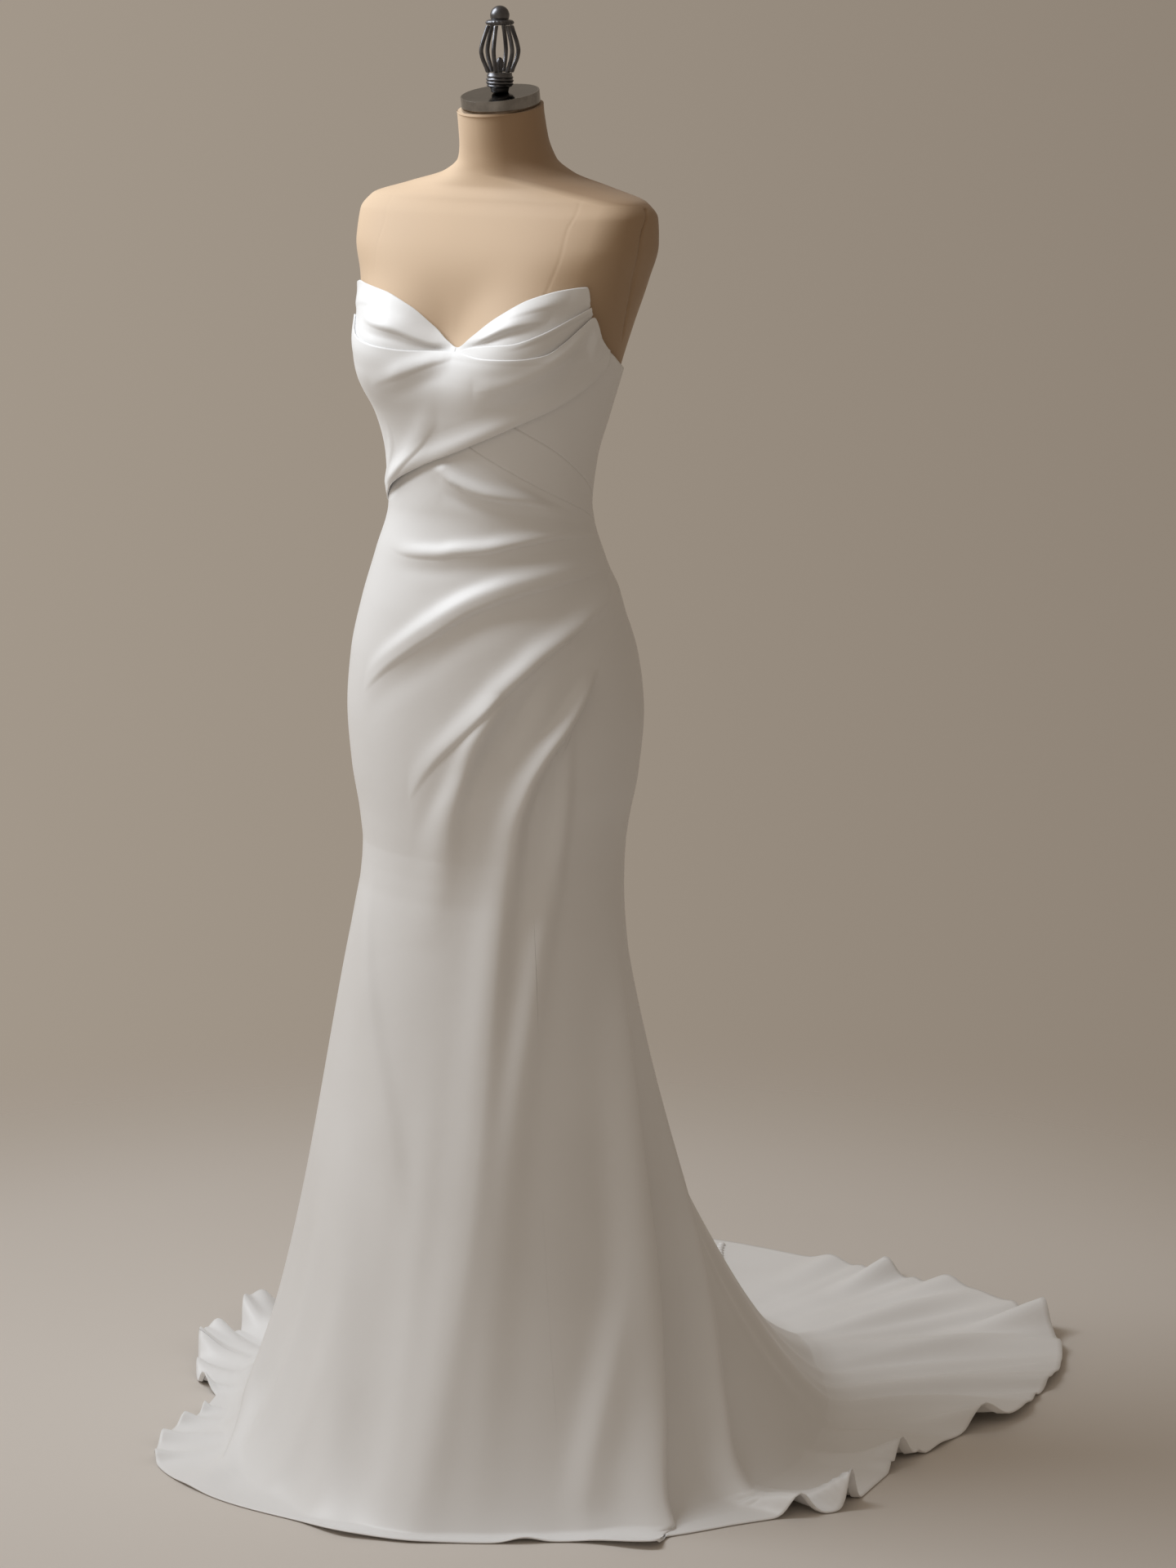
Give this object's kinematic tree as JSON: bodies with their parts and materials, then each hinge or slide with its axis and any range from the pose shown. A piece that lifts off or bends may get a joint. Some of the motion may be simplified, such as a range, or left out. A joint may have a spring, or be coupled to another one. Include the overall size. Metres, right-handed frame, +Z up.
{
  "type": "wedding dress on a dress form",
  "caption": "Strapless satin mermaid wedding dress with a draped bodice and a train, worn by a limbless dress form on a stand.",
  "frame": {"origin": "on the floor, at the centre of the underside of the stand's round foot", "axes": "+Z up, the wearer faces -Y, +X is the wearer's left"},
  "size_m": [1.0036, 1.1416, 1.6596],
  "materials": {
    "satin": "smooth ivory-white satin with a soft sheen",
    "linen_cover": "fine matt beige cover, stretched smooth",
    "brushed_cap_steel": "dark nickel, brushed on its edge",
    "dark_iron": "dark waxed iron"
  },
  "bodies": {
    "root": {"back_left": "satin", "back_right": "satin", "bust_drape": "satin", "button_01": "satin", "button_02": "satin", "button_03": "satin", "button_04": "satin", "button_05": "satin", "button_06": "satin", "button_07": "satin", "button_08": "satin", "button_09": "satin", "button_10": "satin", "button_11": "satin", "button_12": "satin", "button_13": "satin", "button_14": "satin", "button_15": "satin", "button_16": "satin", "button_17": "satin", "button_18": "satin", "button_19": "satin", "button_20": "satin", "button_21": "satin", "cup_left": "satin", "cup_right": "satin", "drape_band": "satin", "finial_ball": "dark_iron", "finial_bar_1": "dark_iron", "finial_bar_2": "dark_iron", "finial_bar_3": "dark_iron", "finial_bar_4": "dark_iron", "finial_bar_5": "dark_iron", "finial_bar_6": "dark_iron", "finial_collar": "dark_iron", "finial_crown": "dark_iron", "finial_stub": "dark_iron", "form_torso": "linen_cover", "neck_cap": "brushed_cap_steel", "side_left_lower": "satin", "side_left_upper": "satin", "skirt_front": "satin", "skirt_side_left": "satin", "skirt_side_right": "satin", "stand_foot": "dark_iron", "stand_pole": "brushed_cap_steel", "train_left": "satin", "train_right": "satin"}
  },
  "joints": []
}
